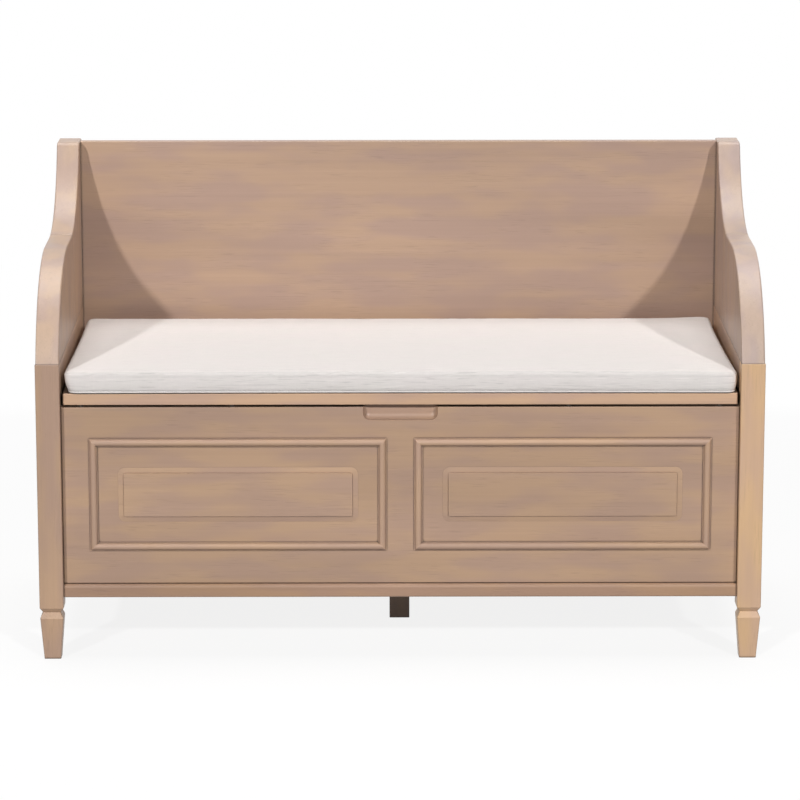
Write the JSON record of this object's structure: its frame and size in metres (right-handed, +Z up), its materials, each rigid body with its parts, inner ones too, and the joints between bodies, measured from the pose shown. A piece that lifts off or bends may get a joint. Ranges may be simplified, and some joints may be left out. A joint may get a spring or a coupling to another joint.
{
  "type": "settle bench",
  "caption": "Wooden storage settle with curved wing arms, a panelled back, a hinged lift-up seat over a chest and a loose flat seat cushion.",
  "frame": {"origin": "on the floor, midway between the ends and between the front and rear faces of the legs", "axes": "+X along the bench towards the right end as seen from the front, +Y towards the back, +Z up"},
  "size_m": [1.08, 0.496, 0.717],
  "materials": {
    "stained_wood": "satin taupe stain over fine straight grain",
    "plain_wood": "sanded, uncoated",
    "dowel_wood": "uncoated beech",
    "cushion_fabric": "oat-white slub linen weave",
    "plated_steel": "bright zinc plate",
    "zinc_alloy": "die-cast, tumbled",
    "clear_rubber": "soft translucent"
  },
  "bodies": {
    "bench_frame": {"backrest_panel": "stained_wood", "cam_bolts": "plated_steel", "cam_discs": "zinc_alloy", "case_screws": "plated_steel", "centre_bearer": "plain_wood", "centre_leg": "stained_wood", "centre_leg_bolt": "plated_steel", "dowels": "dowel_wood", "floor_board": "plain_wood", "front_base_rail": "stained_wood", "front_floor_cleat": "plain_wood", "front_panel": "stained_wood", "hinge_pins": "plated_steel", "hinge_rail": "stained_wood", "hinge_rail_cleat": "plain_wood", "hinge_rail_leaves": "plated_steel", "left_front_leg": "stained_wood", "left_moulding_bottom": "stained_wood", "left_moulding_inner": "stained_wood", "left_moulding_outer": "stained_wood", "left_moulding_top": "stained_wood", "left_raised_field": "stained_wood", "left_rear_leg": "stained_wood", "left_side_base_rail": "stained_wood", "left_side_panel": "stained_wood", "left_side_top_rail": "stained_wood", "left_stay_case_bracket": "plated_steel", "left_wing_arm_board": "stained_wood", "left_wing_tall_board": "stained_wood", "lid_bumpers": "clear_rubber", "lower_back_panel": "stained_wood", "rear_base_rail": "stained_wood", "rear_floor_cleat": "plain_wood", "right_front_leg": "stained_wood", "right_moulding_bottom": "stained_wood", "right_moulding_inner": "stained_wood", "right_moulding_outer": "stained_wood", "right_moulding_top": "stained_wood", "right_raised_field": "stained_wood", "right_rear_leg": "stained_wood", "right_side_base_rail": "stained_wood", "right_side_panel": "stained_wood", "right_side_top_rail": "stained_wood", "right_stay_case_bracket": "plated_steel", "right_wing_arm_board": "stained_wood", "right_wing_tall_board": "stained_wood", "stay_case_rivets": "plated_steel"},
    "lid": {"seat_lid": "stained_wood", "hinge_lid_leaves": "plated_steel", "lid_screws": "plated_steel", "stay_lid_rivets": "plated_steel", "left_stay_lid_bracket": "plated_steel", "right_stay_lid_bracket": "plated_steel"},
    "left_lower_arm": {"left_stay_lower_arm": "plated_steel", "left_stay_elbow_rivet": "plated_steel"},
    "left_upper_arm": {"left_stay_upper_arm": "plated_steel"},
    "right_lower_arm": {"right_stay_lower_arm": "plated_steel", "right_stay_elbow_rivet": "plated_steel"},
    "right_upper_arm": {"right_stay_upper_arm": "plated_steel"},
    "cushion": {"seat_cushion": "cushion_fabric"}
  },
  "joints": [
    {"name": "lid_hinge", "type": "hinge", "parent": "bench_frame", "child": "lid", "pos_m": [0, 0.194, 0.40868], "axis": [-1, 0, 0], "range_deg": [0, 80]},
    {"name": "left_lower_arm_pivot", "type": "hinge", "parent": "bench_frame", "child": "left_lower_arm", "pos_m": [-0.5005, 0.10445, 0.3448], "axis": [-1, 0, 0], "range_deg": [0, 80]},
    {"name": "left_upper_arm_pivot", "type": "hinge", "parent": "lid", "child": "left_upper_arm", "pos_m": [-0.498, 0.05718, 0.379], "axis": [-1, 0, 0], "range_deg": [-80, 0]},
    {"name": "right_lower_arm_pivot", "type": "hinge", "parent": "bench_frame", "child": "right_lower_arm", "pos_m": [0.5005, 0.10445, 0.3448], "axis": [-1, 0, 0], "range_deg": [0, 80]},
    {"name": "right_upper_arm_pivot", "type": "hinge", "parent": "lid", "child": "right_upper_arm", "pos_m": [0.498, 0.05718, 0.379], "axis": [-1, 0, 0], "range_deg": [-80, 0]},
    {"name": "cushion_slide", "type": "slide", "parent": "lid", "child": "cushion", "axis": [0, -1, 0], "range_m": [0, 0.15]}
  ],
  "couplings": [
    {"joint": "left_lower_arm_pivot", "follows": "lid_hinge", "ratio": 1},
    {"joint": "left_upper_arm_pivot", "follows": "lid_hinge", "ratio": -1},
    {"joint": "right_lower_arm_pivot", "follows": "lid_hinge", "ratio": 1},
    {"joint": "right_upper_arm_pivot", "follows": "lid_hinge", "ratio": -1}
  ]
}
